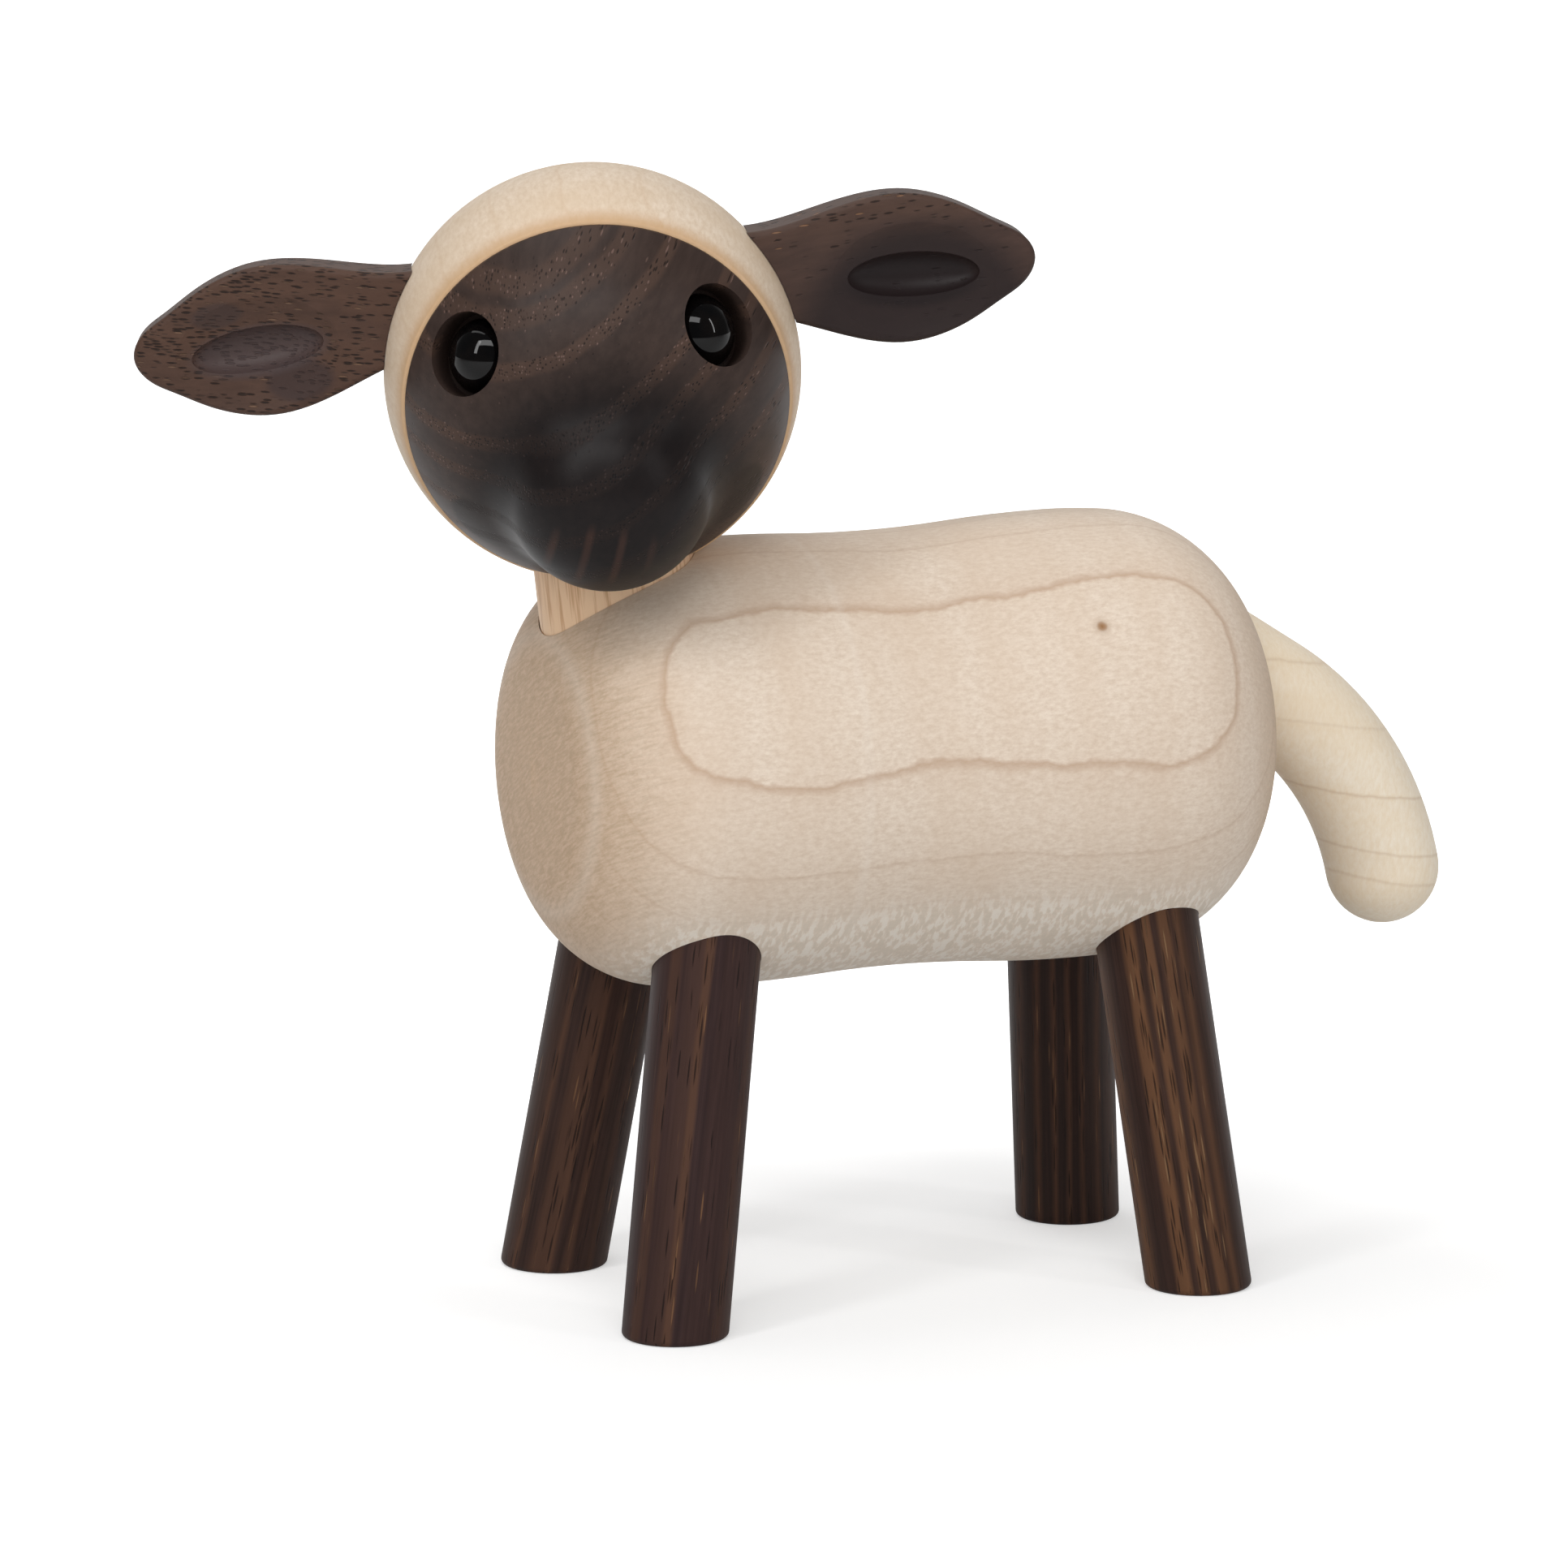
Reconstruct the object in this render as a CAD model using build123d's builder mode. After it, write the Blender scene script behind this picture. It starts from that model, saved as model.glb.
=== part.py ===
from build123d import *
from math import asin, cos, degrees, radians, sin, sqrt, tan
import os

os.makedirs("parts", exist_ok=True)

# A turned wooden sheep on four splayed dowel legs, with its head turned to its left.
# The floor is z = 0, the nose end is toward -Y and the sheep's left side is toward +X.
# The origin is under the middle of the whole ornament. Lengths are in millimetres, angles in degrees.

# Rooms between pieces, and how far a cutting shape passes its mark
glue_room = 0.04
turn_room = 0.08
seat_room = 0.1
overrun = 5.0

# Whole angles
quarter_turn_angle = 90.0
half_turn_angle = 180.0

# Body: turned about a level axis, with a slight waist between shoulder and hip
body_axis_height = 40.7
body_middle_place = 4.0
chest_reach = 27.8
rump_reach = 29.95
shoulder_place = 12.3
shoulder_radius = 16.8
waist_place = 0.3
waist_radius = 16.4
hip_place = 14.7
hip_radius = 17.0
chest_crown_radius = 69.7
chest_corner_radius = 9.8
shoulder_crown_radius = 66.7
rump_crown_radius = 49.5
rump_corner_radius = 11.6
hip_crown_radius = 45.0

# Legs: plain dowels let into blind holes, cut flat where they stand
leg_radius = 4.0
leg_top_drop = 2.7
leg_top_chamfer = 0.6
foot_round = 0.4
foot_half_track = 12.55
foot_half_base = 21.3
front_rake_angle = 8.1
front_splay_angle = 7.0
rear_rake_angle = 5.7
rear_splay_angle = 8.4

# Neck: a dowel that turns in a bore of the body and is glued into the head
neck_radius = 6.0
neck_lean_angle = 6.5
neck_seat_place = 19.6
neck_seat_depth = 14.5
neck_chamfer = 0.5
neck_socket_reach = 6.0

# Friction ring: sits in a groove of the neck and keeps the head where it is turned
ring_thickness = 1.4
ring_place = 5.0
ring_groove_side_room = 0.15

# Head: a ball with a small flat below, cut off where the face is glued on
head_radius = 15.5
head_height = 28.1
head_turn_angle = 71.0
head_flat_drop = 14.0
face_pitch_angle = 11.9
face_seat = 5.7
cap_rim_round = 0.35

# Face: a dark dome with a turned muzzle, let into the ball by a round spigot
face_inset = 0.1
face_rim_inset = 0.2
muzzle_radius = 7.7
muzzle_reach = 12.7
muzzle_pitch_angle = 18.6
muzzle_blend = 7.0
face_spigot_radius = 4.5
face_spigot_length = 3.0

# Eyes: glossy beads on stems, sunk in round recesses of the face
eye_swing_angle = 40.7
eye_lift_angle = 18.0
recess_radius = 3.15
recess_depth = 2.3
bead_radius = 2.75
bead_edge = 0.3
bead_dome_height = 1.8
bead_stem_radius = 0.9
bead_stem_length = 2.2

# Ears: carved leaves with a wide dish and a deeper hollow, held by round tenons
ear_length = 19.4
ear_half_width = 6.0
ear_thickness = 4.6
ear_front_round = 0.5
ear_back_round = 0.6
ear_back_place = 5.0
ear_back_half_length = 26.0
ear_back_radius = 9.0
ear_root_height = 6.1
ear_root_back = 1.2
ear_sweep_angle = 6.0
ear_droop_angle = 4.4
ear_middle_share = 0.475
ear_dish_half_length = 6.2
ear_dish_half_width = 4.3
ear_dish_depth = 0.9
ear_dish_drop = 1.2
ear_hollow_half_length = 4.6
ear_hollow_half_width = 1.65
ear_hollow_depth = 1.1
ear_hollow_drop = 0.95
ear_tenon_radius = 2.1
ear_tenon_length = 5.0

# Outline of the ear from its tip, as shares of its length and of its half width
ear_top_shares = [
    (0.035, 0.23), (0.13, 0.42), (0.25, 0.63), (0.51, 0.88), (0.775, 0.74), (1.03, 0.52), (1.15, 0.5),
]
ear_bottom_shares = [
    (0.035, -0.29), (0.13, -0.52), (0.25, -0.76), (0.51, -1.0),
    (0.775, -0.84), (1.03, -0.59), (1.15, -0.54),
]

# Tail: a round rod bent through an arc, with a ball end
tail_radius = 4.35
tail_bend_radius = 22.3
tail_root_height = 1.9
tail_root_angle = 33.2
tail_end_angle = 78.7
tail_stub = 9.0


def end_points(reach, hump_place, hump_radius, crown, corner, hump_crown):
    # joints of the three arcs that round one end, from its pole to the top of its hump
    crown_middle = Vector(reach - crown, 0)
    hump_middle = Vector(hump_place, hump_radius - hump_crown)
    span = hump_middle - crown_middle
    way = span.normalized()
    along = ((crown - corner) ** 2 - (hump_crown - corner) ** 2 + span.length**2) / (2 * span.length)
    aside = sqrt((crown - corner) ** 2 - along**2)
    corner_middle = crown_middle + way * along + Vector(-way.Y, way.X) * aside
    crown_end = crown_middle + (corner_middle - crown_middle).normalized() * crown
    corner_end = hump_middle + (corner_middle - hump_middle).normalized() * hump_crown
    return [Vector(reach, 0), crown_end, corner_end, Vector(hump_place, hump_radius)]


def leg_plane(side, end, rake, splay):
    # stands on the foot's middle, square to the leg
    foot = (side * foot_half_track, body_middle_place + end * foot_half_base, 0)
    lean = (-side * tan(radians(splay)), -end * tan(radians(rake)), 1)
    return Plane(origin=foot, z_dir=lean)


def leg_length(rake, splay):
    height = body_axis_height - leg_top_drop
    return height * sqrt(1 + tan(radians(rake)) ** 2 + tan(radians(splay)) ** 2)


def head_point(across, back, up):
    # a place given in the head's own directions, from the middle of the ball
    return head_plane.from_local_coords(Vector(across, back, up))


legs = [
    ("front_left_leg", 1, -1, front_rake_angle, front_splay_angle),
    ("front_right_leg", -1, -1, front_rake_angle, front_splay_angle),
    ("rear_left_leg", 1, 1, rear_rake_angle, rear_splay_angle),
    ("rear_right_leg", -1, 1, rear_rake_angle, rear_splay_angle),
]

# Planes of the neck and head: x to the sheep's left, y backward, z up the neck
neck_seat = (0, body_middle_place - neck_seat_place, body_axis_height + shoulder_radius - neck_seat_depth)
neck_axis = (0, -sin(radians(neck_lean_angle)), cos(radians(neck_lean_angle)))
neck_plane = Plane(origin=neck_seat, x_dir=(1, 0, 0), z_dir=neck_axis)
head_plane = Plane(neck_plane.location * Location((0, 0, head_height), (0, 0, head_turn_angle)))
face_plane = Plane(head_plane.location * Location((0, 0, 0), (quarter_turn_angle + face_pitch_angle, 0, 0)))
muzzle_plane = Plane(face_plane.location * Location((0, 0, 0), (muzzle_pitch_angle, 0, 0)))
neck_length = head_height - head_flat_drop + neck_socket_reach
neck_bore_radius = neck_radius + turn_room

# Tail path: straight stub in the body, then the bend, in the sheep's middle plane
middle_plane = Plane(origin=(0, body_middle_place, body_axis_height), x_dir=(0, 1, 0), z_dir=(1, 0, 0))
tail_run = (cos(radians(tail_root_angle)), -sin(radians(tail_root_angle)))
tail_root = (rump_reach + tail_radius * sin(radians(tail_root_angle)), tail_root_height)
tail_start = (tail_root[0] - tail_stub * tail_run[0], tail_root[1] - tail_stub * tail_run[1])
tail_stub_plane = Plane(
    origin=middle_plane.from_local_coords(Vector(*tail_start)), z_dir=(0, tail_run[0], tail_run[1])
)

# Body
chest_points = end_points(
    chest_reach, shoulder_place, shoulder_radius,
    chest_crown_radius, chest_corner_radius, shoulder_crown_radius,
)
rump_points = end_points(
    rump_reach, hip_place, hip_radius, rump_crown_radius, rump_corner_radius, hip_crown_radius
)
waist_point = Vector(-waist_place, waist_radius)
body_outline = [Vector(-point.X, point.Y) for point in chest_points]
body_outline.append((body_outline[-1] + waist_point) / 2)
body_outline.append(waist_point)
body_outline.append((waist_point + rump_points[-1]) / 2)
body_outline.extend(reversed(rump_points))

with BuildPart() as body:
    with BuildSketch(middle_plane):
        with BuildLine():
            way = Vector(0, 1)
            for start, end in zip(body_outline, body_outline[1:]):
                arc = TangentArc(start, end, tangent=way)
                way = arc % 1
            Line(body_outline[-1], body_outline[0])
        make_face()
    revolve(axis=Axis(middle_plane.origin, (0, 1, 0)))
    for name, side, end, rake, splay in legs:
        with BuildSketch(leg_plane(side, end, rake, splay)):
            Circle(leg_radius + glue_room)
        extrude(amount=leg_length(rake, splay), mode=Mode.SUBTRACT)
    with BuildSketch(neck_plane.offset(-seat_room)):
        Circle(neck_bore_radius)
    extrude(amount=head_height, mode=Mode.SUBTRACT)
    with BuildSketch(tail_stub_plane):
        Circle(tail_radius + glue_room)
    extrude(amount=tail_stub + overrun, mode=Mode.SUBTRACT)
body.part.label = "body"
export_step(body.part, "parts/body.step")

# Legs
for name, side, end, rake, splay in legs:
    with BuildPart() as leg:
        with BuildSketch(leg_plane(side, end, rake, splay).offset(-overrun)):
            Circle(leg_radius)
        extrude(amount=leg_length(rake, splay) + overrun)
        chamfer(leg.faces().sort_by(Axis.Z)[-1].edges(), leg_top_chamfer)
        split(bisect_by=Plane.XY, keep=Keep.TOP)
        fillet(leg.faces().sort_by(Axis.Z)[0].edges(), foot_round)
    leg.part.label = name
    export_step(leg.part, "parts/" + name + ".step")

# Neck and its friction ring
ring_radius = ring_thickness / 2
ring_middle_radius = neck_bore_radius - glue_room - ring_radius
groove_radius = ring_middle_radius - ring_radius - glue_room
groove_width = ring_thickness + 2 * ring_groove_side_room

with BuildPart() as neck:
    with BuildSketch(neck_plane):
        Circle(neck_radius)
    extrude(amount=neck_length)
    chamfer(neck.edges().filter_by(GeomType.CIRCLE), neck_chamfer)
    with BuildSketch(neck_plane.offset(ring_place - groove_width / 2)):
        Circle(neck_radius + overrun)
        Circle(groove_radius, mode=Mode.SUBTRACT)
    extrude(amount=groove_width, mode=Mode.SUBTRACT)
neck.part.label = "neck"
export_step(neck.part, "parts/neck.step")

with BuildPart(neck_plane.offset(ring_place)) as neck_ring:
    Torus(ring_middle_radius, ring_radius)
neck_ring.part.label = "neck_ring"
export_step(neck_ring.part, "parts/neck_ring.step")

# Eye planes look outward from the middle of the ball
dome_radius = head_radius - face_inset
eye_across = sin(radians(eye_swing_angle)) * cos(radians(eye_lift_angle))
eye_ahead = cos(radians(eye_swing_angle)) * cos(radians(eye_lift_angle))
eye_planes = {}
for name, side in (("left_eye", 1), ("right_eye", -1)):
    aim = head_point(side * eye_across, -eye_ahead, sin(radians(eye_lift_angle))) - head_plane.origin
    eye_planes[name] = Plane(origin=head_plane.origin, z_dir=aim)

# Ear planes: x out along the ear, y up its width, z out of its dished front
ear_seat_radius = head_radius + glue_room
ear_root_across = sqrt(ear_seat_radius**2 - ear_root_height**2 - ear_root_back**2)
ear_planes = {}
for name, side in (("left_ear", 1), ("right_ear", -1)):
    root = head_point(side * ear_root_across, ear_root_back, ear_root_height)
    back = radians(ear_sweep_angle)
    droop = radians(ear_droop_angle)
    tip_way = head_point(side * cos(back) * cos(droop), sin(back) * cos(droop), -sin(droop))
    front_way = head_point(side * sin(back), -cos(back), 0)
    ear_planes[name] = Plane(
        origin=root, x_dir=tip_way - head_plane.origin, z_dir=front_way - head_plane.origin
    )

# Head
with BuildPart(head_plane) as head:
    Sphere(head_radius, rotation=(0, 0, quarter_turn_angle))
    split(bisect_by=face_plane.offset(face_seat), keep=Keep.BOTTOM)
    fillet(head.faces().filter_by(GeomType.PLANE).edges(), cap_rim_round)
    split(bisect_by=head_plane.offset(-head_flat_drop), keep=Keep.TOP)
    with BuildSketch(head_plane.offset(-head_radius - overrun)):
        Circle(neck_radius + glue_room)
    extrude(amount=head_radius + overrun - head_flat_drop + neck_socket_reach, mode=Mode.SUBTRACT)
    with BuildSketch(face_plane.offset(face_seat)):
        Circle(face_spigot_radius + glue_room)
    extrude(amount=-face_spigot_length, mode=Mode.SUBTRACT)
    for name, plane in ear_planes.items():
        tenon_plane = Plane(origin=plane.origin, z_dir=plane.x_dir)
        with BuildSketch(tenon_plane.offset(overrun)):
            Circle(ear_tenon_radius + glue_room)
        extrude(amount=-overrun - ear_tenon_length, mode=Mode.SUBTRACT)
head.part.label = "head"
export_step(head.part, "parts/head.step")

# Face: dome and muzzle are balls on one axis, joined by a hollow blend
blend_from_dome = dome_radius + muzzle_blend
blend_from_muzzle = muzzle_radius + muzzle_blend
blend_along = (blend_from_dome**2 - blend_from_muzzle**2 + muzzle_reach**2) / (2 * muzzle_reach)
blend_out = sqrt(blend_from_dome**2 - blend_along**2)
dome_end = (blend_out * dome_radius / blend_from_dome, blend_along * dome_radius / blend_from_dome)
muzzle_start = (
    blend_out * muzzle_radius / blend_from_muzzle,
    muzzle_reach + (blend_along - muzzle_reach) * muzzle_radius / blend_from_muzzle,
)
muzzle_tip = (0, muzzle_reach + muzzle_radius)
dome_turn_angle = half_turn_angle - degrees(asin(dome_end[0] / dome_radius))
face_rim_radius = sqrt(head_radius**2 - face_seat**2) - face_rim_inset

muzzle_outline_plane = Plane(
    origin=muzzle_plane.origin, x_dir=muzzle_plane.x_dir, z_dir=-muzzle_plane.y_dir
)

with BuildPart() as face:
    with BuildSketch(muzzle_outline_plane):
        with BuildLine():
            dome_line = CenterArc((0, 0), dome_radius, -quarter_turn_angle, dome_turn_angle)
            blend_line = TangentArc(dome_line @ 1, muzzle_start, tangent=dome_line % 1)
            muzzle_line = TangentArc(muzzle_start, muzzle_tip, tangent=blend_line % 1)
            Line(muzzle_tip, (0, -dome_radius))
        make_face()
    revolve(axis=Axis(muzzle_plane.origin, muzzle_plane.z_dir))
    with BuildSketch(face_plane.offset(face_seat)):
        Circle(face_rim_radius)
    extrude(amount=muzzle_reach + muzzle_radius, mode=Mode.INTERSECT)
    split(bisect_by=head_plane.offset(-head_flat_drop), keep=Keep.TOP)
    with BuildSketch(face_plane.offset(face_seat)):
        Circle(face_spigot_radius)
    extrude(amount=-face_spigot_length)
    for plane in eye_planes.values():
        with BuildSketch(plane.offset(dome_radius - recess_depth)):
            Circle(recess_radius)
        extrude(amount=recess_depth + overrun, mode=Mode.SUBTRACT)
        with BuildSketch(plane.offset(dome_radius - recess_depth)):
            Circle(bead_stem_radius + glue_room)
        extrude(amount=-bead_stem_length, mode=Mode.SUBTRACT)
    with BuildSketch(head_plane.offset(-head_radius - overrun)):
        Circle(neck_radius + glue_room)
    extrude(amount=head_radius + overrun - head_flat_drop + neck_socket_reach, mode=Mode.SUBTRACT)
face.part.label = "face"
export_step(face.part, "parts/face.step")

# Eyes
bead_top = (0, bead_edge + bead_dome_height)
for name, plane in eye_planes.items():
    bead_plane = plane.offset(dome_radius - recess_depth)
    with BuildPart() as eye:
        with BuildSketch(Plane(origin=bead_plane.origin, x_dir=plane.x_dir, z_dir=-plane.y_dir)):
            with BuildLine():
                Polyline(
                    bead_top, (0, -bead_stem_length), (bead_stem_radius, -bead_stem_length),
                    (bead_stem_radius, 0), (bead_radius, 0), (bead_radius, bead_edge),
                )
                TangentArc(bead_top, (bead_radius, bead_edge), tangent=(1, 0))
            make_face()
        revolve(axis=Axis(bead_plane.origin, plane.z_dir))
    eye.part.label = name
    export_step(eye.part, "parts/" + name + ".step")

# Ears: the right one mirrors the left across the middle of the head
left_plane = ear_planes["left_ear"]
ear_top = [(ear_length * (1 - along), ear_half_width * up) for along, up in ear_top_shares]
ear_bottom = [(ear_length * (1 - along), ear_half_width * up) for along, up in ear_bottom_shares]
ear_outline = [*reversed(ear_top), (ear_length, 0), *ear_bottom]
ear_front = ear_thickness / 2
ear_middle = ear_length * (1 - ear_middle_share)


def egg_plane(along, up, lowest, belly):
    # lies along the ear through the middle of an egg whose belly reaches down to lowest
    middle = left_plane.from_local_coords(Vector(along, up, lowest + belly))
    return Plane(origin=middle, x_dir=left_plane.x_dir, z_dir=-left_plane.y_dir)


def scooping_egg(drop, floor, half_length, half_width, depth):
    # sketch plane, half length and belly radius of the egg that scoops a hollow
    belly = (half_width**2 + depth**2) / (2 * depth)
    return egg_plane(ear_middle, -drop, floor, belly), half_length * belly / half_width, belly


dish_floor = ear_front - ear_dish_depth
hollow_floor = dish_floor - ear_hollow_depth
back_plane = egg_plane(ear_back_place, 0, -ear_front, ear_back_radius)
ear_scoops = [
    scooping_egg(
        ear_dish_drop, dish_floor, ear_dish_half_length, ear_dish_half_width, ear_dish_depth
    ),
    scooping_egg(
        ear_hollow_drop, hollow_floor, ear_hollow_half_length, ear_hollow_half_width, ear_hollow_depth
    ),
]

with BuildPart() as left_ear:
    with BuildSketch(left_plane.offset(-ear_thickness / 2)):
        with BuildLine():
            Spline(*ear_outline)
            Line(ear_outline[-1], ear_outline[0])
        make_face()
    extrude(amount=ear_thickness)
    with BuildSketch(back_plane):
        with BuildLine():
            bow = EllipticalCenterArc(
                (0, 0), ear_back_half_length, ear_back_radius, half_turn_angle, arc_size=half_turn_angle
            )
            Line(bow @ 1, bow @ 0)
        make_face()
    revolve(axis=Axis(back_plane.origin, back_plane.x_dir), mode=Mode.INTERSECT)
    along_ear = Axis(left_plane.origin, left_plane.x_dir)
    through_ear = Axis(left_plane.origin, left_plane.z_dir)
    fillet(left_ear.faces().sort_by(through_ear)[0].edges().sort_by(along_ear)[1:], ear_back_round)
    fillet(left_ear.faces().sort_by(through_ear)[-1].edges().sort_by(along_ear)[1:], ear_front_round)
    for plane, half_span, belly in ear_scoops:
        with BuildSketch(plane):
            with BuildLine():
                bow = EllipticalCenterArc(
                    (0, 0), half_span, belly, half_turn_angle, arc_size=half_turn_angle
                )
                Line(bow @ 1, bow @ 0)
            make_face()
        revolve(axis=Axis(plane.origin, plane.x_dir), mode=Mode.SUBTRACT)
    with Locations(head_plane):
        Sphere(ear_seat_radius, rotation=(0, 0, quarter_turn_angle), mode=Mode.SUBTRACT)
    with BuildSketch(Plane(origin=left_plane.origin, z_dir=left_plane.x_dir).offset(ear_tenon_radius)):
        Circle(ear_tenon_radius)
    extrude(amount=-ear_tenon_radius - ear_tenon_length)
left_ear.part.label = "left_ear"
export_step(left_ear.part, "parts/left_ear.step")

with BuildPart() as right_ear:
    mirror(left_ear.part, about=Plane(origin=head_plane.origin, z_dir=head_plane.x_dir))
right_ear.part.label = "right_ear"
export_step(right_ear.part, "parts/right_ear.step")

# Tail
with BuildPart() as tail:
    with BuildLine(middle_plane) as tail_path:
        Line(tail_start, tail_root)
        JernArc(
            start=tail_root, tangent=tail_run, radius=tail_bend_radius,
            arc_size=tail_root_angle - tail_end_angle,
        )
    with BuildSketch(tail_stub_plane):
        Circle(tail_radius)
    sweep(path=tail_path.line)
    with Locations(tail_path.line @ 1):
        Sphere(tail_radius)
tail.part.label = "tail"
export_step(tail.part, "parts/tail.step")
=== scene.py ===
import bpy
import math
from mathutils import Matrix, Vector

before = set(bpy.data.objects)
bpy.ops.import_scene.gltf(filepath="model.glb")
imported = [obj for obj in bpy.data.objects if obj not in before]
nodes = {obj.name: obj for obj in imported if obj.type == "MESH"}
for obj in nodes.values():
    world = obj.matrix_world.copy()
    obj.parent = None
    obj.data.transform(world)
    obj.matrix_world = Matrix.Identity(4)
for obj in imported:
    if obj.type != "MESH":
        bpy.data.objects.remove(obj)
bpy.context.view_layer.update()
bpy.ops.object.select_all(action="DESELECT")
print("frame loaded:", len(nodes), "nodes")

# The photograph's view, in degrees and metres: turn is from straight ahead of the chest toward the
# sheep's left. Lens and sensor are in millimetres.
view = {
    "turn": 67.91, "height": 11.5, "distance": 1.0,
    "aside": -0.0069, "rise": 0.0379, "middle": 0.004,
    "lens": 304.84, "sensor": 36.0, "nearest": 0.05,
}
turn = math.radians(view["turn"])
height = math.radians(view["height"])
toFront = Vector((math.sin(turn), -math.cos(turn), 0))
toCamera = toFront * math.cos(height) + Vector((0, 0, math.sin(height)))
toRight = Vector((math.cos(turn), math.sin(turn), 0))
aim = toRight * view["aside"] + Vector((0, view["middle"], view["rise"]))
bpy.ops.object.camera_add(location=aim + toCamera * view["distance"])
camera = bpy.context.object
camera.rotation_euler = toCamera.to_track_quat("Z", "Y").to_euler()
camera.data.lens = view["lens"]
camera.data.sensor_width = view["sensor"]
camera.data.clip_start = view["nearest"]
bpy.context.scene.camera = camera
print("camera placed")


# sRGB hex to the linear colour that the shaders take
def linear(hexColour):
    values = [int(hexColour[i:i + 2], 16) / 255 for i in (0, 2, 4)]
    return [v / 12.92 if v < 0.04045 else ((v + 0.055) / 1.055) ** 2.4 for v in values] + [1.0]


# one node with its settings and links; a link is named for its input, or i and the input's number
def addNode(tree, kind, settings=None, **links):
    node = tree.nodes.new(kind)
    for name, value in (settings or {}).items():
        if name == "stops":  # a ramp's places with their colours or greys
            ramp = node.color_ramp
            ramp.elements.remove(ramp.elements[1])
            for number, (place, colour) in enumerate(value):
                stop = ramp.elements[0] if number == 0 else ramp.elements.new(place)
                stop.position = place
                stop.color = linear(colour) if isinstance(colour, str) else (colour, colour, colour, 1)
        else:
            setattr(node, name, value)
    for name, value in links.items():
        key = int(name[1:]) if name[0] == "i" and name[1:].isdigit() else name.replace("_", " ")
        if isinstance(value, bpy.types.NodeSocket):
            tree.links.new(value, node.inputs[key])
        else:
            node.inputs[key].default_value = value
    return node


# settings that many nodes share
inColour = {"data_type": "RGBA"}
softly = {"interpolation_type": "SMOOTHSTEP"}
plus = {"operation": "ADD"}
multiply = {"operation": "MULTIPLY"}
multiplyAdd = {"operation": "MULTIPLY_ADD"}
greater = {"operation": "MAXIMUM"}
distance = {"operation": "DISTANCE"}
length = {"operation": "LENGTH"}
along = {"operation": "DOT_PRODUCT"}
texture = {"vector_type": "TEXTURE"}
unit = 0.001  # one millimetre, in Blender's metres


def newMaterial(name):
    material = bpy.data.materials.new(name)
    material.use_nodes = True
    tree = material.node_tree
    return material, tree, tree.nodes["Principled BSDF"]


def dress(nodeName, material):
    piece = nodes[nodeName]
    piece.data.materials.clear()
    piece.data.materials.append(material)


# object coordinates in millimetres, along a piece's own directions
def pieceMillimetres(tree, place):
    where = addNode(tree, "ShaderNodeTexCoord")
    local = addNode(
        tree, "ShaderNodeMapping", texture, Vector=where.outputs["Object"],
        Location=place.translation, Rotation=place.to_euler(), Scale=(unit, unit, unit),
    )
    return local.outputs[0]


# how often a pattern comes round in a millimetre, from its real size in millimetres
def scaleFrom(sizes):
    return tuple(1 / size for size in sizes)


def turned(degrees, axis):
    return Matrix.Rotation(math.radians(degrees), 4, axis)


# Floor: matt paper, its places in metres. To the eye it glows a little near the sheep, where it keeps
# the shadow, and is white farther out. A shiny surface sees it bright behind the sheep and dim on the
# camera's side.
floor = {
    "half": 1.5, "paper": "DADADA", "white": "FFFFFF", "roughness": 1.0, "shine": 0.0,
    "glowNear": 0.445, "glowFar": 1.0, "near": 0.045, "far": 0.115, "shadeAhead": 0.03, "shadeAside": 0.014,
    "mirrorFront": 0.1, "mirrorBack": -0.3, "mirrorLeast": 0.15,
}
bpy.ops.mesh.primitive_plane_add(size=2 * floor["half"])
paper = bpy.context.object
paper.name = "floor"
material, tree, shader = newMaterial("paper floor")
shader.inputs["Base Color"].default_value = linear(floor["paper"])
shader.inputs["Roughness"].default_value = floor["roughness"]
shader.inputs["Specular IOR Level"].default_value = floor["shine"]
shader.inputs["Emission Color"].default_value = linear(floor["white"])
rays = addNode(tree, "ShaderNodeLightPath").outputs
spot = addNode(tree, "ShaderNodeTexCoord").outputs["Object"]
seen = addNode(tree, "ShaderNodeMath", greater, i0=rays["Is Camera Ray"], i1=rays["Is Transmission Ray"])
behind = addNode(tree, "ShaderNodeVectorMath", along, i0=spot, i1=toFront)
behind = addNode(
    tree, "ShaderNodeMapRange", Value=behind.outputs["Value"],
    From_Min=floor["mirrorFront"], From_Max=floor["mirrorBack"], To_Min=floor["mirrorLeast"],
)
mirrored = addNode(tree, "ShaderNodeMath", multiply, i0=rays["Is Glossy Ray"], i1=behind.outputs[0])
seen = addNode(tree, "ShaderNodeMath", greater, i0=seen.outputs[0], i1=mirrored.outputs[0])
away = addNode(
    tree, "ShaderNodeVectorMath", distance,
    i0=spot, i1=toFront * floor["shadeAhead"] + toRight * floor["shadeAside"],
)
glow = addNode(
    tree, "ShaderNodeMapRange", softly, Value=away.outputs["Value"],
    From_Min=floor["near"], From_Max=floor["far"], To_Min=floor["glowNear"], To_Max=floor["glowFar"],
)
glow = addNode(tree, "ShaderNodeMath", multiply, i0=seen.outputs[0], i1=glow.outputs[0])
tree.links.new(glow.outputs[0], shader.inputs["Emission Strength"])
paper.data.materials.append(material)

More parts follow.
